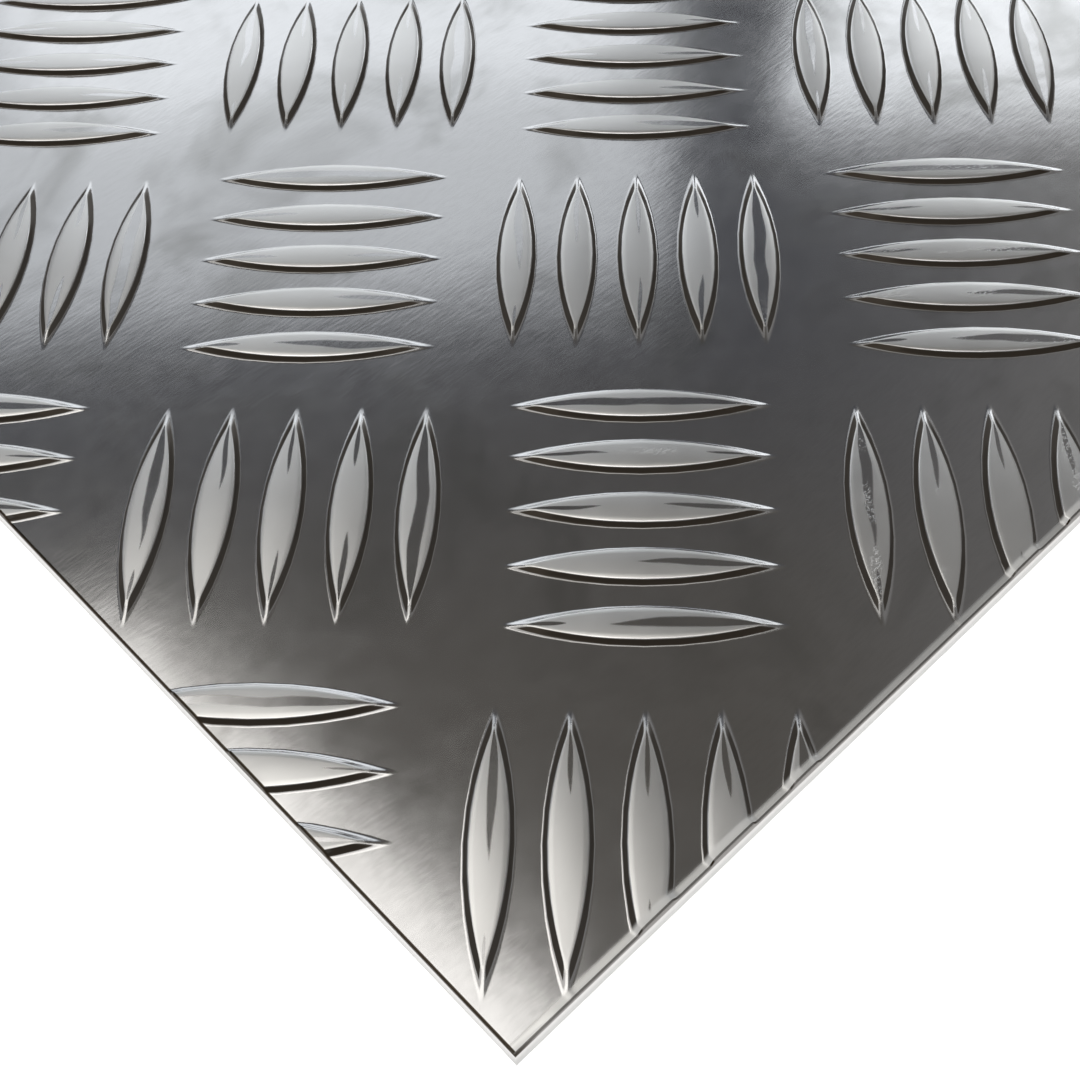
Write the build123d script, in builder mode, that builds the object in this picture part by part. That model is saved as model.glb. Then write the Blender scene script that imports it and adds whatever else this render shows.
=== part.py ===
"""Checker plate: a square cut of rolled aluminium sheet with a five-bar tread on its upper face.

The sheet lies flat, its underside on z = 0 and the middle of that underside at the origin.
X runs along the rolling direction. Groups of five lens-shaped bars stand on a square lattice
that is turned against the edges, and each group is a quarter turn from its neighbours.
The bars are rolled up out of the sheet, so sheet and bars are one solid, and a bar that
meets a cut edge ends flush with it.
"""
import os
from itertools import product
from math import ceil

from build123d import *

# Sheet, in millimetres: a cut piece, and its thickness between the bars
sheet_length = 200.0
sheet_width = 200.0
base_thickness = 3.0

# One tread bar: length and width where it meets the sheet, and height of its crest above it
bar_length = 30.0
bar_width = 5.4
bar_height = 1.1
# How far each side leans inwards on its way up to the crest
flank_run = 0.55
# How far the crest falls from its middle to the tips
crest_fall = 0.45

# Tread pattern: bars in a group, their spacing, and the lattice that the groups stand on
bars_in_group = 5
bar_spacing = 7.6
group_pitch = 40.0
pattern_angle = 45.0
quarter_turn = 90.0
# From the corner with the lowest X and Y to the middle of the first whole group,
# whose bars lie across that corner's diagonal
phase_x = 51.0
phase_y = 34.0

# The foot of a bar is a lens of two arcs, and each of its sides is a cone that starts on an arc
flank_radius = (bar_length**2 + bar_width**2) / (4 * bar_width)
flank_offset = flank_radius - bar_width / 2
# The crest is part of a wide cylinder that lies across the bar
crest_radius = (bar_length**2 / 4 + crest_fall**2) / (2 * crest_fall)
total_height = base_thickness + bar_height
# Groups to either side of the first one that are enough to cover the sheet
group_reach = ceil((sheet_length + sheet_width) / group_pitch)


def reaches_sheet(place):
    """Whether a bar at this place can touch the sheet."""
    near_x = abs(place.position.X) < (sheet_length + bar_length) / 2
    near_y = abs(place.position.Y) < (sheet_width + bar_length) / 2
    return near_x and near_y


def bar_places():
    """The place and turn of every bar, group by group."""
    first_group = (phase_x - sheet_length / 2, phase_y - sheet_width / 2, 0)
    lattice = Location(first_group, (0, 0, pattern_angle))
    reach = range(-group_reach, group_reach + 1)
    steps = [(number - (bars_in_group - 1) / 2) * bar_spacing for number in range(bars_in_group)]
    places = []
    for column, row in product(reach, reach):
        turn = quarter_turn * ((column + row + 1) % 2)
        group = lattice * Location((column * group_pitch, row * group_pitch, 0), (0, 0, turn))
        places += [group * Location((0, step, 0)) for step in steps]
    return [place for place in places if reaches_sheet(place)]


# One tread bar along X: two leaning cones cut the lens, and the wide cylinder rounds its crest
with BuildPart() as tread_bar:
    foot_up = (Align.CENTER, Align.CENTER, Align.MIN)
    crest_foot = flank_radius - flank_run
    with Locations((0, flank_offset, base_thickness)):
        Cone(flank_radius, crest_foot, bar_height, align=foot_up)
    with Locations((0, -flank_offset, base_thickness)):
        Cone(flank_radius, crest_foot, bar_height, align=foot_up, mode=Mode.INTERSECT)
    with Locations((0, 0, total_height - crest_radius)):
        Cylinder(crest_radius, bar_width, rotation=(quarter_turn, 0, 0), mode=Mode.INTERSECT)

# The sheet with all its bars, cut square at the edges
with BuildPart() as checker_plate:
    with BuildSketch():
        Rectangle(sheet_length, sheet_width)
    extrude(amount=base_thickness)
    with Locations(*bar_places()):
        add(tread_bar.part)
    with BuildSketch():
        Rectangle(sheet_length, sheet_width)
    extrude(amount=total_height, mode=Mode.INTERSECT)

checker_plate.part.label = "checker_plate"

os.makedirs("parts", exist_ok=True)
export_step(checker_plate.part, "parts/checker_plate.step")
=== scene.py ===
"""Dresses the checker plate for the studio: a rolled aluminium sheet with a five-bar tread.

The plate is one closed skin. A node tree lays the tread bars out over the sheet, the sheet's
upper face is woven in between their feet, and the whole is cut square at the sheet's edges.
Everything is in metres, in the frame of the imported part: X along the rolling direction,
Z up, the underside on z = 0.
"""

from math import atan2, cos, pi, radians, sin, sqrt, tan

import bmesh
import bpy
from bpy.props import (
    FloatProperty,
    FloatVectorProperty,
    IntProperty,
    PointerProperty,
)
from bpy.types import NodeSocket, Operator, Panel, PropertyGroup
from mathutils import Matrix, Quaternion, Vector
from mathutils.geometry import delaunay_2d_cdt


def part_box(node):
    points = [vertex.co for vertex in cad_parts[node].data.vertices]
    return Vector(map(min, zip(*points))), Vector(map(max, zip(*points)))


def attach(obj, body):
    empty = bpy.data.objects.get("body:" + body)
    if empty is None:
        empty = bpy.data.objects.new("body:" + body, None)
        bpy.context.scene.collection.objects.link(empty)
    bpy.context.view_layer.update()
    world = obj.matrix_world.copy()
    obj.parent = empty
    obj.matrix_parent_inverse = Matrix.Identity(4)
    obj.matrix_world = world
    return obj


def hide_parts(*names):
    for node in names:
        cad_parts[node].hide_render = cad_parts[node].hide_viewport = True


bl_info = {
    "name": "Checker Plate",
    "version": (1, 0, 0),
    "blender": (4, 5, 0),
    "location": "3D View > Sidebar > Checker Plate",
    "description": "Builds a five-bar checker plate and a plain studio round it",
    "category": "Object",
}

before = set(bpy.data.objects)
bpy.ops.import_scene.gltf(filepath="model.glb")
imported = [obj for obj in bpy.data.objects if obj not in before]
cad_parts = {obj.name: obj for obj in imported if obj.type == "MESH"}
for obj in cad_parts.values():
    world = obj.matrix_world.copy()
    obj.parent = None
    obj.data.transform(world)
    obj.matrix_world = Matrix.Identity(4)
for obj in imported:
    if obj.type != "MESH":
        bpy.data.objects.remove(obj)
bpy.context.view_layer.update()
PLATE_NODE = "checker_plate"
PLATE_LOW, PLATE_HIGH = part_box(PLATE_NODE)

MM = 0.001
BAR_HEIGHT = 0.74 * MM
BARS_MESH = "tread_bars"
PIECE = "rolled_plate"

# Points of the mesh that lie this close are one, edges this close are on the rim
MERGE_GAP = 1e-8
WEAVE_GAP = 1e-9
RIM_GAP = 1e-6
# The rim: a flat lip inside the rounded edge, and the bevel along the underside
LIP = 0.05 * MM
FOOT_BEVEL = 0.12 * MM
ROLL_STEPS = 4
# Spans along a bar, and its rows of points across the crest as shares of the half width
BAR_SPANS = 12
CREST_ROW_SHARES = (0.72, 0.0, -0.72)
# How much of a bar's length the leaf marks and the crest take up
LEAF_SHARE = 0.8
CREST_SHARE = 0.82
CREST_EDGE = 0.12 * MM

# Scales of the metal's noises, per metre along X, Y and Z
GRAIN_SCALE = (600, 2600, 600)
MOTTLE_SCALE = (320, 380, 350)
CLOUD_SCALE = (44, 52, 52)
SWELL_SCALE = (17, 21, 21)
RUB_SCALE = (1900, 3200, 2600)
PATCH_SCALE = (110, 110, 110)
WANDER_SCALE = (160, 160, 160)
SHEAR_SCALE = (2600, 2600, 240)
# Depths of the bumps that they make
SWELL_DEPTH = 0.28 * MM
MOTTLE_DEPTH = 0.0055 * MM
GRAIN_DEPTH = 0.003 * MM
SCUFF_DEPTH = 0.015 * MM
SHEAR_DEPTH = 0.03 * MM
# Scuffs: how far their line wanders from the middle, where it fades, and the trodden patch
SCUFF_WANDER = 1.2 * MM
SCUFF_FADE = (0.8 * MM, 0.25 * MM)
TRODDEN_X = (-50 * MM, -38 * MM)
TRODDEN_Y = (-50 * MM, -65 * MM)
# Where the painted highlight and the painted shade along the cut edges fade in, from the edge inwards or
# down
EDGE_HIGHLIGHT_BAND = (1.2 * MM, 0.6 * MM)
ARRIS_BAND = (0.3 * MM, 0.22 * MM)
ARRIS_SHADE_BAND = (0.75 * MM, 0.4 * MM)

FLOOR_SIZE = 6.0
FLOOR_GAP = 0.02 * MM
FLOOR_GLOW = 0.74
CLIP_START = 5 * MM
COOL_LIGHT = (0.94, 0.975, 1.0)
WARM_LIGHT = (1.0, 0.975, 0.93)
BLUE_LIGHT = (0.87, 0.94, 1.0)


class TreadSizes(PropertyGroup):
    """Sizes of the sheet and of the tread rolled into it."""

    sheet_length: FloatProperty(
        name="Sheet Length",
        description="Along the rolling direction",
        default=PLATE_HIGH[0] - PLATE_LOW[0],
        unit="LENGTH",
    )
    sheet_width: FloatProperty(
        name="Sheet Width",
        description="Across the rolling direction",
        default=PLATE_HIGH[1] - PLATE_LOW[1],
        unit="LENGTH",
    )
    base_thickness: FloatProperty(
        name="Base Thickness",
        description="Thickness between the bars",
        default=3.0 * MM,
        unit="LENGTH",
    )
    bar_length: FloatProperty(
        name="Bar Length",
        description="Tip to tip at the foot",
        default=30.0 * MM,
        unit="LENGTH",
    )
    bar_width: FloatProperty(
        name="Bar Width",
        description="At the middle of the foot",
        default=4.75 * MM,
        unit="LENGTH",
    )
    tip_width: FloatProperty(
        name="Tip Width",
        description="Width of the blunt end of a bar",
        default=0.4 * MM,
        unit="LENGTH",
    )
    tip_ramp: FloatProperty(
        name="Tip Ramp",
        description="How much sooner than the foot the crest ends at each tip, beyond the lean of the sides",
        default=1.3 * MM,
        unit="LENGTH",
    )
    bar_height: FloatProperty(
        name="Bar Height",
        description="Crest above the sheet, at the middle of a bar",
        default=BAR_HEIGHT,
        unit="LENGTH",
    )
    flank_run: FloatProperty(
        name="Flank Run",
        description="How far a side leans in on its way up",
        default=0.42 * MM,
        unit="LENGTH",
    )
    crest_fall: FloatProperty(
        name="Crest Fall",
        description="How far the crest falls from its middle to the tips",
        default=0.45 * MM,
        unit="LENGTH",
    )
    crest_round: FloatProperty(
        name="Crest Round",
        description="How far the crest falls from its flat middle to its long edges",
        default=0.07 * MM,
        unit="LENGTH",
    )
    root_radius: FloatProperty(
        name="Root Radius",
        description="Hollow fillet where a bar grows out of the sheet",
        default=0.4 * MM,
        unit="LENGTH",
    )
    edge_radius: FloatProperty(
        name="Edge Radius",
        description="Softened edge between a side and the crest",
        default=0.28 * MM,
        unit="LENGTH",
    )
    bars_in_group: IntProperty(
        name="Bars in Group", description="Bars that lie side by side", default=5
    )
    bar_spacing: FloatProperty(
        name="Bar Spacing",
        description="Between the middle lines of neighbouring bars",
        default=7.6 * MM,
        unit="LENGTH",
    )
    group_pitch: FloatProperty(
        name="Group Pitch",
        description="Between the middles of neighbouring groups",
        default=40.0 * MM,
        unit="LENGTH",
    )
    pattern_angle: FloatProperty(
        name="Pattern Angle",
        description="Turn of the tread against the sheet's edges",
        default=radians(45.0),
        subtype="ANGLE",
    )
    phase: FloatVectorProperty(
        name="Phase",
        description="From the lowest corner to the middle of the first whole group",
        default=(51.0 * MM, 34.0 * MM),
        size=2,
        subtype="XYZ",
        unit="LENGTH",
    )
    crest_lean: FloatProperty(
        name="Crest Lean",
        description="Largest sideways lean of a crest, different on each bar",
        default=radians(1.4),
        subtype="ANGLE",
    )
    crest_pitch: FloatProperty(
        name="Crest Pitch",
        description="Largest endwise lean of a crest, different on each bar",
        default=radians(0.5),
        subtype="ANGLE",
    )
    roll_over: FloatVectorProperty(
        name="Roll Over",
        description="Width of the rounded edge along the sawn ends and along the sheared sides",
        default=(0.2 * MM, 0.8 * MM),
        size=2,
        subtype="XYZ",
        unit="LENGTH",
    )
    roll_drop: FloatProperty(
        name="Roll Drop",
        description="How far the shear has pulled the edge down",
        default=0.16 * MM,
        unit="LENGTH",
    )
    seed: IntProperty(name="Seed", description="Draw of the small differences", default=7)


class FinishSettings(PropertyGroup):
    """Colours and textures of the metal."""

    metal: FloatVectorProperty(
        name="Metal",
        description="Colour of the rolled face",
        default=(0.80, 0.80, 0.81),
        subtype="COLOR",
    )
    stain: FloatVectorProperty(
        name="Stain",
        description="Colour of the duller clouds",
        default=(0.56, 0.56, 0.555),
        subtype="COLOR",
    )
    # Partly a painted highlight: this paler colour is laid on the satin crests and along the sheared sides'
    # rounded edge, besides the real scuffs
    scuff_and_highlight: FloatVectorProperty(
        name="Scuff",
        description="Colour of the bright crests, their scuffs and the rubbed edges",
        default=(0.90, 0.90, 0.89),
        subtype="COLOR",
    )
    # Painted shade: this dark colour stands in for shade on the steep sides, feet and ends of the bars
    flank: FloatVectorProperty(
        name="Flank",
        description="Colour of the steep sides that meet the rolls first and keep their oil and dust",
        default=(0.05, 0.041, 0.032),
        subtype="COLOR",
    )
    cut: FloatVectorProperty(
        name="Cut",
        description="Colour of the sheared edge",
        default=(0.76, 0.755, 0.75),
        subtype="COLOR",
    )
    # Painted shade: this dark colour is laid along the top of the cut edge
    arris: FloatVectorProperty(
        name="Arris",
        description="Colour of the smear along the top of the sheared edge",
        default=(0.05, 0.038, 0.026),
        subtype="COLOR",
    )
    shine: FloatProperty(
        name="Roughness", description="Mean roughness of the rolled face", default=0.14
    )
    satin: FloatProperty(
        name="Crest Roughness", description="Mean roughness of the satin crests", default=0.35
    )


class StageSettings(PropertyGroup):
    """Floor, lights and camera of the studio."""

    floor: FloatVectorProperty(
        name="Floor", description="Colour of the floor", default=(0.9, 0.9, 0.9), subtype="COLOR"
    )
    room_low: FloatVectorProperty(
        name="Room Low",
        description="Colour of the dim room round the lights, low down",
        default=(0.06, 0.062, 0.07),
        subtype="COLOR",
    )
    room_high: FloatVectorProperty(
        name="Room High",
        description="Colour of the dim room round the lights, high up",
        default=(0.085, 0.079, 0.071),
        subtype="COLOR",
    )
    room_right: FloatVectorProperty(
        name="Room Right",
        description="Colour of the dim room to the right of the camera's view",
        default=(0.17, 0.165, 0.16),
        subtype="COLOR",
    )
    room_left: FloatVectorProperty(
        name="Room Left",
        description="Colour of the dim room far to the left of the camera's view",
        default=(0.25, 0.25, 0.255),
        subtype="COLOR",
    )
    room_behind: FloatVectorProperty(
        name="Room Behind",
        description="Colour of the dim room behind the camera",
        default=(0.34, 0.335, 0.33),
        subtype="COLOR",
    )
    lens: FloatProperty(name="Lens", description="Focal length in millimetres", default=51.31)
    camera_place: FloatVectorProperty(
        name="Camera Place",
        description="Where the camera stands",
        default=(-125.25 * MM, -136.51 * MM, 139.55 * MM),
        subtype="XYZ",
        unit="LENGTH",
    )
    camera_aim: FloatVectorProperty(
        name="Camera Aim",
        description="The point that the camera looks at",
        default=(-60.16 * MM, -61.39 * MM, 3.0 * MM),
        subtype="XYZ",
        unit="LENGTH",
    )
    camera_roll: FloatProperty(
        name="Camera Roll",
        description="Turn of the camera about its line of sight",
        default=radians(-3.373),
        subtype="ANGLE",
    )


def add_node(tree, kind, feeds=None, **settings):
    """Adds a node, sets its properties, and feeds its inputs with values or other nodes' outputs."""
    node = tree.nodes.new(kind)
    for name, value in settings.items():
        setattr(node, name, value)
    for name, value in (feeds or {}).items():
        live = [socket for socket in node.inputs if socket.enabled]
        socket = next(s for s in live if name in (s.identifier, s.name))
        if isinstance(value, NodeSocket):
            tree.links.new(value, socket)
        else:
            socket.default_value = value
    return node


def math_node(tree, operation, *values):
    """The output of one Math node."""
    feeds = dict(zip(("Value", "Value_001", "Value_002"), values))
    return add_node(tree, "ShaderNodeMath", feeds, operation=operation).outputs[0]


def spread(tree, value, low, high, to_low=0.0, to_high=1.0):
    """Maps a value smoothly from one range to another and clamps it there."""
    feeds = {
        "Value": value,
        "From Min": low,
        "From Max": high,
        "To Min": to_low,
        "To Max": to_high,
    }
    kind = "ShaderNodeMapRange"
    return add_node(tree, kind, feeds, interpolation_type="SMOOTHSTEP").outputs["Result"]


def noise(tree, where, scale, detail=2.0, rough=0.5, distort=0.0):
    """Noise on the given coordinates, stretched by a scale for each axis, per metre."""
    mapping = add_node(tree, "ShaderNodeMapping", {"Vector": where, "Scale": scale})
    feeds = {
        "Vector": mapping.outputs[0],
        "Scale": 1.0,
        "Detail": detail,
        "Roughness": rough,
        "Distortion": distort,
    }
    return add_node(tree, "ShaderNodeTexNoise", feeds).outputs["Fac"]


def blend_colour(tree, factor, first, second):
    """Mixes two colours."""
    feeds = {"Factor_Float": factor, "A_Color": first, "B_Color": second}
    outputs = add_node(tree, "ShaderNodeMix", feeds, data_type="RGBA").outputs
    return next(socket for socket in outputs if socket.enabled)


def kept(tree, name):
    """A number that the tread pattern has left on the mesh."""
    return add_node(tree, "ShaderNodeAttribute", attribute_name=name).outputs["Fac"]


# For each bar of a group: how far a mark reaches in from the one tip and from the other, and its width
LEAVES_AHEAD = ((1.0, 1.0, 0.5), (0.3, 0.42, 0.42), (0.4, 0.35, 0.34), (0.4, 0.0, 0.36), (0.72, 0.15, 0.46))
LEAVES_ACROSS = ((1.0, 1.0, 0.4), (0.35, 0.2, 0.32), (0.35, 0.45, 0.36), (0.0, 0.5, 0.42), (0.15, 0.6, 0.5))


def blank_material(name):
    """A new material with an empty node tree."""
    material = bpy.data.materials.new(name)
    material.use_nodes = True
    material.node_tree.nodes.clear()
    return material


def stacked_bumps(tree, normal, layers):
    """The normal after a bump for each height and depth, one on top of the other."""
    for height, depth in layers:
        feeds = {"Height": height, "Distance": depth, "Strength": 1.0, "Normal": normal}
        normal = add_node(tree, "ShaderNodeBump", feeds).outputs[0]
    return normal


def leaf_marks(tree, sizes, where):
    """Leaf-shaped marks on the crests, of another length on each bar of a group."""
    leaves = LEAVES_AHEAD + LEAVES_ACROSS
    quarter = len(LEAVES_AHEAD) / (pi / 2)
    number = math_node(tree, "MULTIPLY_ADD", kept(tree, "turn"), quarter, kept(tree, "number"))
    ramp = add_node(tree, "ShaderNodeValToRGB", {"Fac": math_node(tree, "DIVIDE", number, len(leaves))})
    ramp.color_ramp.interpolation = "CONSTANT"
    stops = ramp.color_ramp.elements
    while len(stops) < len(leaves):
        stops.new(1.0)
    for k, leaf in enumerate(leaves):
        stops[k].position = max(0.0, (k - 0.5) / len(leaves))
        stops[k].color = (*leaf, 1)
    shares = add_node(tree, "ShaderNodeSeparateColor", {"Color": ramp.outputs["Color"]}).outputs
    along = math_node(tree, "DIVIDE", kept(tree, "along"), LEAF_SHARE * sizes.bar_length / 2)
    taper = math_node(tree, "SUBTRACT", 1.08, math_node(tree, "MULTIPLY", along, along))
    room = math_node(tree, "MULTIPLY", taper, sizes.bar_width / 2)
    across = math_node(tree, "DIVIDE", kept(tree, "across"), room)
    waver = math_node(tree, "MULTIPLY_ADD", noise(tree, where, PATCH_SCALE, 1.0), 0.6, -0.36)
    aside = math_node(tree, "ABSOLUTE", math_node(tree, "SUBTRACT", across, waver))
    longer = math_node(tree, "MULTIPLY_ADD", kept(tree, "wear"), 0.4, 0.75)
    marks = []
    for way, name in ((1.0, "Red"), (-1.0, "Green")):
        length = math_node(tree, "MULTIPLY", shares[name], longer)
        length = math_node(tree, "MULTIPLY_ADD", length, 2.0, 0.001)
        inside = math_node(tree, "MULTIPLY_ADD", along, way, -1.0)
        inside = math_node(tree, "DIVIDE", math_node(tree, "ADD", inside, length), length)
        width = math_node(tree, "POWER", math_node(tree, "MAXIMUM", inside, 0.0), 0.6)
        width = math_node(tree, "MULTIPLY", width, shares["Blue"])
        mark = spread(tree, math_node(tree, "SUBTRACT", width, aside), 0.0, 0.14)
        marks.append(math_node(tree, "MULTIPLY", mark, spread(tree, inside, 1.1, 1.0)))
    return math_node(tree, "MAXIMUM", *marks)


def beside_crest(tree, sizes):
    """One on the sides of a bar and on the ramps at its tips, nought on its crest."""
    along = math_node(tree, "DIVIDE", kept(tree, "along"), CREST_SHARE * sizes.bar_length / 2)
    taper = math_node(tree, "SUBTRACT", 1.0, math_node(tree, "MULTIPLY", along, along))
    widest = sizes.bar_width / 2 - sizes.flank_run
    half = math_node(tree, "MULTIPLY", math_node(tree, "MAXIMUM", taper, 0.0), widest)
    beyond = math_node(tree, "SUBTRACT", math_node(tree, "ABSOLUTE", kept(tree, "across")), half)
    return spread(tree, beyond, 0.0, CREST_EDGE)


def scuff_marks(tree, where, spot, crest):
    """Scuffs on a wandering line down the middle of the crests, in the trodden patch."""
    wander = noise(tree, where, WANDER_SCALE, 1.0)
    wander = math_node(tree, "MULTIPLY_ADD", wander, 2 * SCUFF_WANDER, -SCUFF_WANDER)
    aside = math_node(tree, "ABSOLUTE", math_node(tree, "SUBTRACT", kept(tree, "across"), wander))
    scuffs = crest
    for share in (
        spread(tree, noise(tree, where, RUB_SCALE, 2.0, 0.6), 0.5, 0.6),
        spread(tree, kept(tree, "wear"), 0.1, 0.6),
        spread(tree, aside, *SCUFF_FADE),
        spread(tree, noise(tree, where, PATCH_SCALE, 1.0), 0.44, 0.58),
        spread(tree, spot["X"], *TRODDEN_X),
        spread(tree, spot["Y"], *TRODDEN_Y),
    ):
        scuffs = math_node(tree, "MULTIPLY", scuffs, share)
    return scuffs


def painted_flank_shade(tree, sizes, facing, foot):
    """Painted shade: a dark, less metallic mask on the steep sides and feet that face -X, and on the bars'
    end ramps that face -Y.
    """
    steep = facing["Z"]
    leaning = math_node(tree, "MULTIPLY", beside_crest(tree, sizes), spread(tree, steep, 0.97, 0.92))
    sides = math_node(tree, "MAXIMUM", leaning, spread(tree, steep, 0.78, 0.62))
    flank_shade = math_node(tree, "MAXIMUM", foot, sides)
    flank_shade = math_node(tree, "MULTIPLY", flank_shade, spread(tree, facing["X"], -0.03, -0.2))
    flank_shade = math_node(tree, "MULTIPLY", flank_shade, spread(tree, facing["Y"], -0.1, 0.2, 1.0, 0.97))
    ends = math_node(tree, "MULTIPLY", leaning, spread(tree, facing["Y"], -0.05, -0.25, 0.0, 0.95))
    return math_node(tree, "MAXIMUM", flank_shade, ends)


def from_edge(tree, place, size):
    """How far a point lies inside the pair of edges that are this size apart."""
    return math_node(tree, "SUBTRACT", size / 2, math_node(tree, "ABSOLUTE", place))


def mill_finish(sizes, finish):
    """Bright mill-finish aluminium: rolling grain, faint clouds, satin crests painted paler as a painted
    highlight, and painted shade, a dark less metallic colour, on the steep sides and feet that face -X and
    on the bar ends that face -Y.
    """
    material = blank_material("mill_finish")
    tree = material.node_tree
    places = add_node(tree, "ShaderNodeTexCoord").outputs
    where = places["Object"]
    spot = add_node(tree, "ShaderNodeSeparateXYZ", {"Vector": where}).outputs
    facing = add_node(tree, "ShaderNodeSeparateXYZ", {"Vector": places["Normal"]}).outputs
    steep = facing["Z"]
    grain = noise(tree, where, GRAIN_SCALE, 0.6, 0.5)
    mottle = noise(tree, where, MOTTLE_SCALE, 1.0, 0.5)
    clouds = noise(tree, where, CLOUD_SCALE, 3.0, 0.6, 0.6)
    swell = noise(tree, where, SWELL_SCALE, 1.0, 0.4)

    # The rolls leave the crests satin, but for a few smooth leaf-shaped marks; the satin crests are also
    # painted paler, a painted highlight
    low, high = (sizes.base_thickness + share * sizes.bar_height for share in (0.3, 0.45))
    raised = spread(tree, spot["Z"], low, high)
    crest = math_node(tree, "MULTIPLY", raised, spread(tree, steep, 0.86, 0.92))
    smooth = math_node(tree, "MULTIPLY", crest, leaf_marks(tree, sizes, where))
    satin = math_node(tree, "SUBTRACT", crest, smooth)
    scuffs = scuff_marks(tree, where, spot, crest)
    # The foot of a bar is rougher, and on the side facing -X it also takes the painted shade
    foot = math_node(tree, "SUBTRACT", 1.0, raised)
    foot = math_node(tree, "MULTIPLY", foot, spread(tree, steep, 0.9995, 0.975, 0.0, 0.5))
    flank_shade = painted_flank_shade(tree, sizes, facing, foot)
    # The sheared sides get a paler, rougher band along their rounded edge, a painted highlight; the sawn
    # ends get a dark band along their top edge, painted shade
    edge_highlight = spread(tree, from_edge(tree, spot["Y"], sizes.sheet_width), *EDGE_HIGHLIGHT_BAND)
    sawn_edge_shade = spread(tree, from_edge(tree, spot["X"], sizes.sheet_length), *ARRIS_BAND)

    colour = (*finish.metal, 1)
    for share, tint in (
        (spread(tree, clouds, 0.46, 0.74), finish.stain),
        (spread(tree, grain, 0.42, 0.72, 0.0, 0.08), finish.stain),
        # Painted highlight on the satin crests; the scuffs are real wear
        (math_node(tree, "MAXIMUM", scuffs, math_node(tree, "MULTIPLY", satin, 0.8)), finish.scuff_and_highlight),
        # Painted shade on the steep sides, feet and ends of the bars
        (flank_shade, finish.flank),
        # Painted highlight along the rounded edge of the sheared sides
        (edge_highlight, finish.scuff_and_highlight),
        # Painted shade along the top edge of the sawn ends
        (sawn_edge_shade, finish.arris),
    ):
        colour = blend_colour(tree, share, colour, (*tint, 1))

    rough = finish.shine - 0.08
    for share, more in (
        (clouds, 0.12),
        (mottle, 0.04),
        (satin, finish.satin - finish.shine),
        (scuffs, 0.1),
        (foot, 0.12),
        (edge_highlight, 0.3),
    ):
        rough = math_node(tree, "MULTIPLY_ADD", share, more, rough)

    # The marks are pressed flat
    straight = add_node(tree, "ShaderNodeNewGeometry").outputs["Normal"]
    feeds = {"Factor_Float": smooth, "A_Vector": straight, "B_Vector": (0.0, 0.0, 1.0)}
    outputs = add_node(tree, "ShaderNodeMix", feeds, data_type="VECTOR").outputs
    pressed = next(socket for socket in outputs if socket.enabled)
    layers = (
        (swell, SWELL_DEPTH),
        (mottle, MOTTLE_DEPTH),
        (grain, GRAIN_DEPTH),
        (scuffs, SCUFF_DEPTH),
    )
    feeds = {
        "Base Color": colour,
        # Where the flank shade is painted, the metal also turns dull and less metallic
        "Metallic": math_node(tree, "MULTIPLY_ADD", flank_shade, -0.8, 1.0),
        "Specular IOR Level": math_node(tree, "MULTIPLY_ADD", flank_shade, -0.44, 0.5),
        "Roughness": rough,
        "Normal": stacked_bumps(tree, pressed, layers),
    }
    shader = add_node(tree, "ShaderNodeBsdfPrincipled", feeds)
    add_node(tree, "ShaderNodeOutputMaterial", {"Surface": shader.outputs[0]})
    return material


def sheared_edge(sizes, finish):
    """The cut edge of the sheet: dull metal with the upright marks of the shear, and a painted dark band of
    shade below its rounded top edge.
    """
    material = blank_material("sheared_edge")
    tree = material.node_tree
    places = add_node(tree, "ShaderNodeTexCoord").outputs
    where = places["Object"]
    height = add_node(tree, "ShaderNodeSeparateXYZ", {"Vector": where}).outputs["Z"]
    facing = add_node(tree, "ShaderNodeSeparateXYZ", {"Vector": places["Normal"]}).outputs["X"]
    marks = noise(tree, where, SHEAR_SCALE, 4.0, 0.65)
    torn = spread(tree, height, 0.7 * sizes.base_thickness, 0.3 * sizes.base_thickness)
    dull = math_node(tree, "MULTIPLY", torn, 0.25)
    colour = blend_colour(tree, dull, (*finish.cut, 1), (*finish.stain, 1))
    # Painted shade: a dark band below the rounded edge, strongest on the sawn ends
    sawn = spread(tree, math_node(tree, "ABSOLUTE", facing), 0.3, 0.7)
    low, high = (sizes.base_thickness - depth for depth in ARRIS_SHADE_BAND)
    arris_shade = spread(tree, height, low, high)
    arris_shade = math_node(tree, "MULTIPLY", arris_shade, math_node(tree, "MULTIPLY_ADD", sawn, 0.35, 0.65))
    colour = blend_colour(tree, arris_shade, colour, (*finish.arris, 1))
    rough = math_node(tree, "MULTIPLY_ADD", torn, 0.14, 0.4)
    rough = math_node(tree, "MULTIPLY_ADD", marks, 0.12, rough)
    feeds = {"Height": marks, "Distance": SHEAR_DEPTH, "Strength": 1.0}
    scored = add_node(tree, "ShaderNodeBump", feeds).outputs[0]
    feeds = {"Base Color": colour, "Metallic": 1.0, "Roughness": rough, "Normal": scored}
    shader = add_node(tree, "ShaderNodeBsdfPrincipled", feeds)
    add_node(tree, "ShaderNodeOutputMaterial", {"Surface": shader.outputs[0]})
    return material


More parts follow.
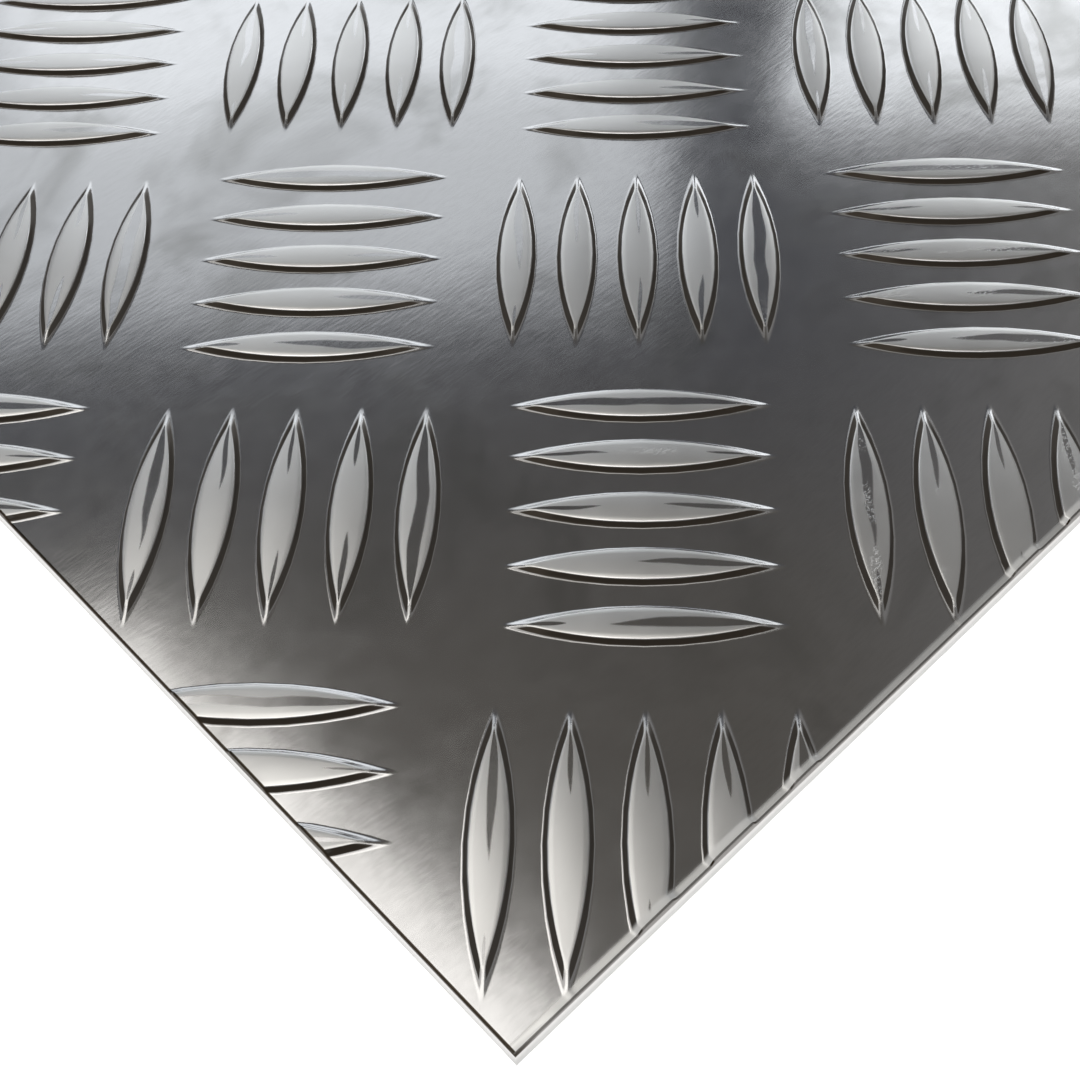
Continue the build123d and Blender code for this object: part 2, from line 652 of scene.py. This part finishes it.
def bar_section(sizes):
    """Half the section of a bar, from the sheet up to the edge of the crest.

    Each step is how far it lies outside the foot's outline, and its height.
    """
    steep = atan2(sizes.bar_height, sizes.flank_run)
    root, edge = sizes.root_radius, sizes.edge_radius
    reach = root * tan(steep / 2)
    steps = [(reach + 0.25 * root, 0.0)]
    for k in range(4):
        bend = steep * k / 3
        steps.append((reach - root * sin(bend), root * (1 - cos(bend))))
    flat_half = sizes.bar_width / 2 - sizes.flank_run - edge / 2
    easy = atan2(4 * sizes.crest_round, flat_half)
    middle_high = sizes.bar_height - sizes.crest_round - edge * cos(easy)
    touch = middle_high + edge * cos(steep)
    middle_out = -sizes.flank_run * touch / sizes.bar_height - edge * sin(steep)
    for k in range(4):
        bend = steep + (easy - steep) * k / 3
        steps.append((middle_out + edge * sin(bend), middle_high + edge * cos(bend)))
    return steps


def bar_mesh(sizes):
    """One tread bar along X, open below, its foot on z = 0 and its outermost ring on the sheet."""
    radius = (sizes.bar_length**2 + sizes.bar_width**2) / (4 * sizes.bar_width)
    offset = radius - sizes.bar_width / 2
    half = sizes.bar_length / 2
    blunt = sizes.tip_width / 2
    shares = [-cos(pi * k / BAR_SPANS) for k in range(BAR_SPANS + 1)]
    section = bar_section(sizes)
    shape = bmesh.new()

    def raised(x, y, high):
        fall = sizes.crest_fall / sizes.bar_height * (x / half) ** 2
        return shape.verts.new((x, y, high * (1 - fall)))

    def outline(out, high):
        reach = sqrt((radius + out) ** 2 - (offset + blunt) ** 2)
        short = reach - sizes.tip_ramp * high / sizes.bar_height
        bow = [sqrt((radius + out) ** 2 - (reach * share) ** 2) - offset for share in shares]
        return [(short * share, y) for share, y in zip(shares, bow)]

    def tip(end, high):
        outward = blunt if end > 0 else -blunt
        return [
            raised(end + (1 - across**2) * outward, across * blunt, high)
            for across in CREST_ROW_SHARES
        ]

    loops = []
    for out, high in section:
        line = outline(out, high)
        far = [raised(x, y, high) for x, y in line]
        right_tip = tip(line[-1][0], high)
        near = [raised(x, -y, high) for x, y in line]
        left_tip = tip(line[0][0], high)
        loops.append(far + right_tip + near[::-1] + left_tip[::-1])
    for lower, upper in zip(loops, loops[1:]):
        for k, corner in enumerate(lower):
            shape.faces.new((corner, lower[k - 1], upper[k - 1], upper[k]))

    # The crest is flat along its middle and rounds off towards its long edges
    out, high = section[-1]
    line = outline(out, high)
    widest = line[BAR_SPANS // 2][1]
    rows = [far]
    for across, first, last in zip(CREST_ROW_SHARES, left_tip, right_tip):
        row = [first]
        for x, y in line[1:-1]:
            swell = sizes.crest_round * (y / widest) ** 2 * (1 - across**4)
            row.append(raised(x, across * y, high + swell))
        rows.append(row + [last])
    rows.append(near)
    for row, following in zip(rows, rows[1:]):
        for k in range(BAR_SPANS):
            shape.faces.new((row[k], following[k], following[k + 1], row[k + 1]))
    bmesh.ops.recalc_face_normals(shape, faces=shape.faces)
    if sum(face.normal.z for face in shape.faces) < 0:
        bmesh.ops.reverse_faces(shape, faces=shape.faces)
    mesh = bpy.data.meshes.new("tread_bar")
    shape.to_mesh(mesh)
    shape.free()
    return mesh


def stored_number(tree, name):
    """A number that an earlier node has stored on the points."""
    kind = "GeometryNodeInputNamedAttribute"
    return add_node(tree, kind, {"Name": name}, data_type="FLOAT").outputs[0]


def tread_tree():
    """A node tree that lays its own mesh, one tread bar, out over the sheet in turned groups."""
    tree = bpy.data.node_groups.new("tread_pattern", "GeometryNodeTree")
    tree.is_modifier = True
    sockets = (
        ("Geometry", "NodeSocketGeometry"),
        ("Group Pitch", "NodeSocketFloat"),
        ("Groups", "NodeSocketInt"),
        ("Bar Spacing", "NodeSocketFloat"),
        ("Bars in Group", "NodeSocketInt"),
        ("Bar Height", "NodeSocketFloat"),
        ("Pattern Angle", "NodeSocketFloat"),
        ("First Group", "NodeSocketVector"),
        ("Reach", "NodeSocketVector"),
        ("Lean", "NodeSocketFloat"),
        ("Pitch", "NodeSocketFloat"),
        ("Seed", "NodeSocketInt"),
        ("Material", "NodeSocketMaterial"),
    )
    for name, kind in sockets:
        tree.interface.new_socket(name, in_out="INPUT", socket_type=kind)
    tree.interface.new_socket("Geometry", in_out="OUTPUT", socket_type="NodeSocketGeometry")
    given = add_node(tree, "NodeGroupInput").outputs

    # The bar remembers how far along, across and up each of its points lies
    place = add_node(tree, "GeometryNodeInputPosition").outputs[0]
    place = add_node(tree, "ShaderNodeSeparateXYZ", {"Vector": place}).outputs
    bar = given["Geometry"]
    for name, value in (("along", place["X"]), ("across", place["Y"]), ("rise", place["Z"])):
        feeds = {"Geometry": bar, "Name": name, "Value": value}
        bar = add_node(tree, "GeometryNodeStoreNamedAttribute", feeds, data_type="FLOAT").outputs[0]

    # Middles of the groups on a square lattice, every other one a quarter turn round
    last = math_node(tree, "SUBTRACT", given["Groups"], 1.0)
    side = math_node(tree, "MULTIPLY", last, given["Group Pitch"])
    feeds = {"Size X": side, "Size Y": side, "Vertices X": given["Groups"], "Vertices Y": given["Groups"]}
    lattice = add_node(tree, "GeometryNodeMeshGrid", feeds).outputs["Mesh"]
    index = add_node(tree, "GeometryNodeInputIndex").outputs[0]
    column = math_node(tree, "FLOOR", math_node(tree, "DIVIDE", index, given["Groups"]))
    row = math_node(tree, "FLOORED_MODULO", index, given["Groups"])
    odd = math_node(tree, "FLOORED_MODULO", math_node(tree, "ADD", column, row), 2.0)
    turn = math_node(tree, "MULTIPLY", math_node(tree, "SUBTRACT", 1.0, odd), pi / 2)
    feeds = {"Geometry": lattice, "Name": "turn", "Value": turn}
    lattice = add_node(tree, "GeometryNodeStoreNamedAttribute", feeds, data_type="FLOAT").outputs[0]

    # The bars of one group lie side by side
    feeds = {"X": 0.0, "Y": given["Bar Spacing"], "Z": 0.0}
    step = add_node(tree, "ShaderNodeCombineXYZ", feeds).outputs[0]
    back = math_node(tree, "MULTIPLY", math_node(tree, "SUBTRACT", given["Bars in Group"], 1.0), -0.5)
    feeds = {"X": 0.0, "Y": math_node(tree, "MULTIPLY", back, given["Bar Spacing"]), "Z": 0.0}
    start = add_node(tree, "ShaderNodeCombineXYZ", feeds).outputs[0]
    feeds = {"Count": given["Bars in Group"], "Start Location": start, "Offset": step}
    group = add_node(tree, "GeometryNodeMeshLine", feeds).outputs["Mesh"]
    number = add_node(tree, "GeometryNodeInputIndex").outputs[0]
    feeds = {"Geometry": group, "Name": "number", "Value": number}
    group = add_node(tree, "GeometryNodeStoreNamedAttribute", feeds, data_type="FLOAT").outputs[0]
    turn = stored_number(tree, "turn")
    round_z = add_node(tree, "ShaderNodeCombineXYZ", {"Z": turn}).outputs[0]
    round_z = add_node(tree, "FunctionNodeEulerToRotation", {"Euler": round_z}).outputs[0]
    feeds = {"Points": lattice, "Instance": group, "Rotation": round_z}
    middles = add_node(tree, "GeometryNodeInstanceOnPoints", feeds).outputs[0]
    middles = add_node(tree, "GeometryNodeRealizeInstances", {"Geometry": middles}).outputs[0]
    tilt = add_node(tree, "ShaderNodeCombineXYZ", {"Z": given["Pattern Angle"]}).outputs[0]
    feeds = {"Geometry": middles, "Translation": given["First Group"], "Rotation": tilt}
    middles = add_node(tree, "GeometryNodeTransform", feeds).outputs[0]

    # Bars that can't touch the sheet are left out
    spot = add_node(tree, "GeometryNodeInputPosition").outputs[0]
    spot = add_node(tree, "ShaderNodeSeparateXYZ", {"Vector": spot}).outputs
    limit = add_node(tree, "ShaderNodeSeparateXYZ", {"Vector": given["Reach"]}).outputs
    beyond = [
        math_node(tree, "GREATER_THAN", math_node(tree, "ABSOLUTE", spot[axis]), limit[axis])
        for axis in ("X", "Y")
    ]
    feeds = {"Geometry": middles, "Selection": math_node(tree, "MAXIMUM", *beyond)}
    middles = add_node(tree, "GeometryNodeDeleteGeometry", feeds).outputs[0]

    # A bar on every middle, each with a lean and a wear of its own
    turned = math_node(tree, "ADD", turn, given["Pattern Angle"])
    turned = add_node(tree, "ShaderNodeCombineXYZ", {"Z": turned}).outputs[0]
    turned = add_node(tree, "FunctionNodeEulerToRotation", {"Euler": turned}).outputs[0]
    feeds = {"Points": middles, "Instance": bar, "Rotation": turned}
    bars = add_node(tree, "GeometryNodeInstanceOnPoints", feeds).outputs[0]
    draws = (("lean", given["Lean"]), ("pitch", given["Pitch"]), ("wear", 1.0))
    for count, (name, most) in enumerate(draws):
        least = 0.0 if name == "wear" else math_node(tree, "MULTIPLY", most, -1.0)
        seed = math_node(tree, "ADD", given["Seed"], float(count))
        feeds = {"Min": least, "Max": most, "Seed": seed}
        value = add_node(tree, "FunctionNodeRandomValue", feeds, data_type="FLOAT").outputs["Value"]
        feeds = {"Geometry": bars, "Name": name, "Value": value}
        kind = {"data_type": "FLOAT", "domain": "INSTANCE"}
        bars = add_node(tree, "GeometryNodeStoreNamedAttribute", feeds, **kind).outputs[0]
    bars = add_node(tree, "GeometryNodeRealizeInstances", {"Geometry": bars}).outputs[0]

    # The lean grows with the height, so the feet stay on the sheet
    stored = {name: stored_number(tree, name) for name in ("along", "across", "rise", "lean", "pitch")}
    share = math_node(tree, "DIVIDE", stored["rise"], given["Bar Height"])
    sideways = math_node(tree, "MULTIPLY", stored["across"], stored["lean"])
    slope = math_node(tree, "MULTIPLY_ADD", stored["along"], stored["pitch"], sideways)
    shift = math_node(tree, "MULTIPLY", slope, share)
    shift = add_node(tree, "ShaderNodeCombineXYZ", {"Z": shift}).outputs[0]
    bars = add_node(tree, "GeometryNodeSetPosition", {"Geometry": bars, "Offset": shift}).outputs[0]
    bars = add_node(tree, "GeometryNodeSetMaterial", {"Geometry": bars, "Material": given["Material"]})
    add_node(tree, "NodeGroupOutput", {"Geometry": bars.outputs[0]})
    return tree


def set_inputs(modifier, tree, values):
    """Sets a modifier's inputs by the identifiers of the tree's sockets."""
    for item in tree.interface.items_tree:
        if item.item_type == "SOCKET" and item.in_out == "INPUT" and item.name in values:
            modifier[item.identifier] = values[item.name]


class CHECKERPLATE_OT_tread_bars(Operator):
    """Makes one tread bar and lays copies of it out over the sheet"""

    bl_idname = "checker_plate.tread_bars"
    bl_label = "Tread Bars"

    def execute(self, context):
        scene = context.scene
        sizes = scene.checker_plate_sizes
        metal = mill_finish(sizes, scene.checker_plate_finish)
        carrier = bpy.data.objects.new("bar_carrier", bar_mesh(sizes))
        scene.collection.objects.link(carrier)
        tree = tread_tree()
        modifier = carrier.modifiers.new("tread_pattern", "NODES")
        modifier.node_group = tree
        half_x, half_y = sizes.sheet_length / 2, sizes.sheet_width / 2
        spare = sizes.bar_length / 2
        groups = int((sizes.sheet_length + sizes.sheet_width) / sizes.group_pitch)
        values = {
            "Group Pitch": sizes.group_pitch,
            "Groups": 2 * groups + 1,
            "Bar Spacing": sizes.bar_spacing,
            "Bars in Group": sizes.bars_in_group,
            "Bar Height": sizes.bar_height,
            "Pattern Angle": sizes.pattern_angle,
            "First Group": (sizes.phase[0] - half_x, sizes.phase[1] - half_y, sizes.base_thickness),
            "Reach": (half_x + spare, half_y + spare, 0.0),
            "Lean": sizes.crest_lean,
            "Pitch": sizes.crest_pitch,
            "Seed": sizes.seed,
            "Material": metal,
        }
        set_inputs(modifier, tree, values)
        graph = context.evaluated_depsgraph_get()
        mesh = bpy.data.meshes.new_from_object(carrier.evaluated_get(graph))
        mesh.name = BARS_MESH
        bpy.data.objects.remove(carrier)
        if not mesh.polygons:
            raise RuntimeError("the tread pattern came out empty")
        return {"FINISHED"}


def rim_loops(shape):
    """The open outlines of the bars' feet, each as a list of vertices in order."""
    ahead = {}
    for edge in shape.edges:
        if edge.is_boundary:
            for a, b in (edge.verts, reversed(edge.verts)):
                ahead.setdefault(a, []).append(b)
    loops, seen = [], set()
    for first in ahead:
        if first in seen:
            continue
        loop, here = [], first
        while here is not None and here not in seen:
            seen.add(here)
            loop.append(here)
            here = next((v for v in ahead[here] if v not in seen), None)
        loops.append(loop)
    return loops


def weave(shape, loops, corners, filled):
    """Triangles between the outlines, out to the corners; the outlines' own insides stay open."""
    verts = [v for loop in loops for v in loop] + corners
    owner, edges, start = {}, [], 0
    for number, loop in enumerate(loops):
        count = len(loop)
        for k in range(count):
            owner[start + k] = number
            edges.append((start + k, start + (k + 1) % count))
        start += count
    flat = [v.co.xy for v in verts]
    points, _, faces, sources, _, _ = delaunay_2d_cdt(flat, edges, [], 0, WEAVE_GAP)
    if len(points) != len(verts):
        raise RuntimeError("outlines of the tread bars cross")
    new_faces = []
    for face in faces:
        ids = [sources[k][0] for k in face]
        owners = {owner.get(k, -1) for k in ids}
        inside = len(owners) == 1 and -1 not in owners
        if inside and not filled:
            continue
        new_faces.append(shape.faces.new([verts[k] for k in ids]))
    return new_faces


def cut_square(shape, half_x, half_y):
    """Cuts the skin off along the four edges."""
    for point, out in (
        ((half_x, 0, 0), (1, 0, 0)),
        ((-half_x, 0, 0), (-1, 0, 0)),
        ((0, half_y, 0), (0, 1, 0)),
        ((0, -half_y, 0), (0, -1, 0)),
    ):
        geom = [*shape.verts, *shape.edges, *shape.faces]
        bmesh.ops.bisect_plane(
            shape, geom=geom, dist=MERGE_GAP, plane_co=point, plane_no=out, clear_outer=True
        )


def push_out(shape, rim, half, out, drop, to_height=None):
    """Draws the rim outwards and down by one step, and gives the new rim and faces."""
    made = bmesh.ops.extrude_edge_only(shape, edges=rim)["geom"]
    for vert in (v for v in made if isinstance(v, bmesh.types.BMVert)):
        for axis in (0, 1):
            here = vert.co[axis]
            if abs(abs(here) - half[axis]) < RIM_GAP:
                vert.co[axis] = here + (out[axis] if here > 0 else -out[axis])
        vert.co.z = vert.co.z - drop if to_height is None else to_height
    half += out
    edges = [e for e in made if isinstance(e, bmesh.types.BMEdge)]
    faces = [f for f in made if isinstance(f, bmesh.types.BMFace)]
    return edges, faces


class CHECKERPLATE_OT_rolled_plate(Operator):
    """Grows the sheet round the tread bars and cuts it square"""

    bl_idname = "checker_plate.rolled_plate"
    bl_label = "Rolled Plate"

    def execute(self, context):
        scene = context.scene
        sizes = scene.checker_plate_sizes
        mesh = bpy.data.meshes[BARS_MESH]
        shape = bmesh.new()
        shape.from_mesh(mesh)
        bmesh.ops.remove_doubles(shape, verts=shape.verts, dist=MERGE_GAP)
        half_x, half_y = sizes.sheet_length / 2, sizes.sheet_width / 2
        top = sizes.base_thickness
        spare = 2 * sizes.bar_length
        corners = [
            shape.verts.new((sx * (half_x + spare), sy * (half_y + spare), top))
            for sx, sy in ((1, 1), (-1, 1), (-1, -1), (1, -1))
        ]
        weave(shape, rim_loops(shape), corners, filled=False)
        roll = Vector(sizes.roll_over)
        lip = Vector((LIP, LIP))
        half = Vector((half_x, half_y)) - roll - lip
        cut_square(shape, *half)
        rim = [e for e in shape.edges if e.is_boundary]
        sides = []
        rim, _ = push_out(shape, rim, half, lip, 0.0)
        for k in range(ROLL_STEPS):
            low, high = (pi / 2 * step / ROLL_STEPS for step in (k, k + 1))
            drop = sizes.roll_drop * (cos(low) - cos(high))
            rim, faces = push_out(shape, rim, half, roll * (sin(high) - sin(low)), drop)
            if k >= ROLL_STEPS / 2:
                sides += faces
        bevel = Vector((FOOT_BEVEL, FOOT_BEVEL))
        levels = ((0.6 * top, 0.0), (FOOT_BEVEL, 0.0), (0.3 * FOOT_BEVEL, -0.3), (0.0, -1.0))
        for level, share in levels:
            rim, faces = push_out(shape, rim, half, share * bevel, 0.0, level)
            sides += faces
        rim, _ = push_out(shape, rim, half, -lip, 0.0, 0.0)
        weave(shape, rim_loops(shape), [], filled=True)
        for face in shape.faces:
            face.smooth = True
            face.material_index = 0
        for face in sides:
            face.material_index = 1
        bmesh.ops.recalc_face_normals(shape, faces=shape.faces)
        open_edges = [e for e in shape.edges if not e.is_manifold]
        if open_edges:
            raise RuntimeError("the plate's skin is open at %d edges" % len(open_edges))
        skin = bpy.data.meshes.new(PIECE)
        shape.to_mesh(skin)
        shape.free()
        skin.materials.append(next(metal for metal in mesh.materials if metal))
        skin.materials.append(sheared_edge(sizes, scene.checker_plate_finish))
        for name in ("rise", "lean", "pitch"):
            layer = skin.attributes.get(name)
            if layer:
                skin.attributes.remove(layer)
        plate = bpy.data.objects.new(PIECE, skin)
        scene.collection.objects.link(plate)
        bpy.data.meshes.remove(mesh)
        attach(plate, "root")
        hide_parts(PLATE_NODE)
        return {"FINISHED"}


def white_floor(colour):
    """A pale floor that shows white to the eye and to the metal, and still takes a shadow."""
    material = blank_material("pale_floor")
    tree = material.node_tree
    matt = add_node(tree, "ShaderNodeBsdfDiffuse", {"Color": (*colour, 1)}).outputs[0]
    rays = add_node(tree, "ShaderNodeLightPath").outputs
    seen = math_node(tree, "MAXIMUM", rays["Is Camera Ray"], rays["Is Glossy Ray"])
    seen = math_node(tree, "MAXIMUM", seen, rays["Is Transmission Ray"])
    glow = math_node(tree, "MULTIPLY", seen, FLOOR_GLOW)
    shown = add_node(tree, "ShaderNodeEmission", {"Color": (1, 1, 1, 1), "Strength": glow}).outputs[0]
    both = add_node(tree, "ShaderNodeAddShader", {"Shader": matt, "Shader_001": shown})
    add_node(tree, "ShaderNodeOutputMaterial", {"Surface": both.outputs[0]})
    return material


def softbox(scene, name, place, facing, size, radiance, colour=(1, 1, 1), roll=0.0):
    """A rectangular soft light of the given width and height, as bright as a surface of that radiance."""
    lamp = bpy.data.lights.new(name, "AREA")
    lamp.shape = "RECTANGLE"
    lamp.size, lamp.size_y = size
    lamp.color = colour
    lamp.energy = radiance * pi * size[0] * size[1]
    holder = bpy.data.objects.new(name, lamp)
    holder.location = place
    holder.rotation_mode = "QUATERNION"
    turned = facing.to_track_quat("-Z", "Y")
    holder.rotation_quaternion = turned @ Quaternion((0, 0, 1), roll)
    scene.collection.objects.link(holder)


def studio_lights(scene, aim, away, right):
    """Three upright soft lights behind the plate, one over it, one in front and one at its side."""
    up = Vector((0, 0, 1))
    back = Vector((-0.03, -0.03, 0)) + away * 1.6
    tall = back - right * 0.41 + up * 0.9
    softbox(scene, "tall_softbox", tall, -away, (1.2, 1.4), 0.58, COOL_LIGHT, radians(3))
    low = back - away * 0.05 - right * 0.26 + up * 0.55
    softbox(scene, "low_softbox", low, -away, (0.8, 1.2), 0.42, COOL_LIGHT, radians(3))
    flank = back + right * 0.76 + up * 0.72
    softbox(scene, "flank_softbox", flank, -away, (0.72, 1.14), 1.15, COOL_LIGHT, radians(-3))
    over = Vector((-0.304, 0.115, 0.9))
    softbox(scene, "over_softbox", over, -up, (0.808, 1.03), 1.22, WARM_LIGHT, radians(1.5))
    front = aim - away * 0.36 + up * 0.95
    softbox(scene, "front_softbox", front, aim - front, (1.5, 0.4), 0.26)
    side = aim - right * 1.3 + away * 0.75 + up * 0.55
    softbox(scene, "side_softbox", side, aim - side, (0.8, 0.6), 0.08, BLUE_LIGHT)


def studio_room(stage, away, right):
    """A world that is white to the eye, and a dim room, lighter at its walls, to the metal."""
    world = bpy.data.worlds.new("studio_room")
    world.use_nodes = True
    tree = world.node_tree
    tree.nodes.clear()
    way = add_node(tree, "ShaderNodeTexCoord").outputs["Generated"]
    rise = add_node(tree, "ShaderNodeSeparateXYZ", {"Vector": way}).outputs["Z"]
    height = spread(tree, rise, 0.68, 0.86)
    colour = blend_colour(tree, height, (*stage.room_low, 1), (*stage.room_high, 1))
    walls = (
        (right, stage.room_right, 0.12, 0.45),
        (-right, stage.room_left, 0.38, 0.68),
        (-away, stage.room_behind, 0.12, 0.45),
    )
    for direction, tint, starts, full in walls:
        feeds = {"Vector": way, "Vector_001": direction}
        toward = add_node(tree, "ShaderNodeVectorMath", feeds, operation="DOT_PRODUCT")
        share = spread(tree, toward.outputs["Value"], starts, full)
        colour = blend_colour(tree, share, colour, (*tint, 1))
    dim = add_node(tree, "ShaderNodeBackground", {"Color": colour, "Strength": 1.0})
    white = add_node(tree, "ShaderNodeBackground", {"Color": (1, 1, 1, 1), "Strength": 1.0})
    seen = add_node(tree, "ShaderNodeLightPath").outputs["Is Camera Ray"]
    feeds = {"Fac": seen, "Shader": dim.outputs[0], "Shader_001": white.outputs[0]}
    shown = add_node(tree, "ShaderNodeMixShader", feeds)
    add_node(tree, "ShaderNodeOutputWorld", {"Surface": shown.outputs[0]})
    return world


def studio_camera(scene, stage, aim):
    """The camera at its place, turned to the aim and rolled."""
    lens = bpy.data.cameras.new("camera")
    lens.lens = stage.lens
    lens.clip_start = CLIP_START
    camera = bpy.data.objects.new("camera", lens)
    camera.location = stage.camera_place
    look = (aim - Vector(stage.camera_place)).to_track_quat("-Z", "Y")
    camera.rotation_mode = "QUATERNION"
    camera.rotation_quaternion = look @ Quaternion((0, 0, 1), stage.camera_roll)
    scene.collection.objects.link(camera)
    return camera


class CHECKERPLATE_OT_stage(Operator):
    """Sets up the floor, the soft lights, the room and the camera"""

    bl_idname = "checker_plate.stage"
    bl_label = "Stage"

    def execute(self, context):
        scene = context.scene
        stage = scene.checker_plate_stage
        bpy.ops.mesh.primitive_plane_add(size=FLOOR_SIZE, location=(0, 0, -FLOOR_GAP))
        floor = context.active_object
        floor.name = "floor"
        floor.data.materials.append(white_floor(stage.floor))

        aim = Vector(stage.camera_aim)
        away = (aim - Vector(stage.camera_place)) * Vector((1, 1, 0))
        away.normalize()
        right = away.cross(Vector((0, 0, 1)))
        studio_lights(scene, aim, away, right)
        scene.world = studio_room(stage, away, right)
        scene.view_settings.view_transform = "Standard"
        scene.camera = studio_camera(scene, stage, aim)
        return {"FINISHED"}


class CHECKERPLATE_PT_panel(Panel):
    """Sizes, finish and steps of the checker plate"""

    bl_label = "Checker Plate"
    bl_idname = "CHECKERPLATE_PT_panel"
    bl_space_type = "VIEW_3D"
    bl_region_type = "UI"
    bl_category = "Checker Plate"

    def draw(self, context):
        scene = context.scene
        for group in (scene.checker_plate_sizes, scene.checker_plate_finish, scene.checker_plate_stage):
            box = self.layout.box()
            for name in group.__annotations__:
                box.prop(group, name)
        for step in STEPS:
            self.layout.operator(step.bl_idname)


STEPS = (CHECKERPLATE_OT_tread_bars, CHECKERPLATE_OT_rolled_plate, CHECKERPLATE_OT_stage)
CLASSES = (TreadSizes, FinishSettings, StageSettings, *STEPS, CHECKERPLATE_PT_panel)


def register():
    for kind in CLASSES:
        bpy.utils.register_class(kind)
    bpy.types.Scene.checker_plate_sizes = PointerProperty(type=TreadSizes)
    bpy.types.Scene.checker_plate_finish = PointerProperty(type=FinishSettings)
    bpy.types.Scene.checker_plate_stage = PointerProperty(type=StageSettings)


def unregister():
    del bpy.types.Scene.checker_plate_stage
    del bpy.types.Scene.checker_plate_finish
    del bpy.types.Scene.checker_plate_sizes
    for kind in reversed(CLASSES):
        bpy.utils.unregister_class(kind)


def main():
    register()
    bpy.ops.checker_plate.tread_bars()
    bpy.ops.checker_plate.rolled_plate()
    bpy.ops.checker_plate.stage()


if __name__ == "__main__":
    main()
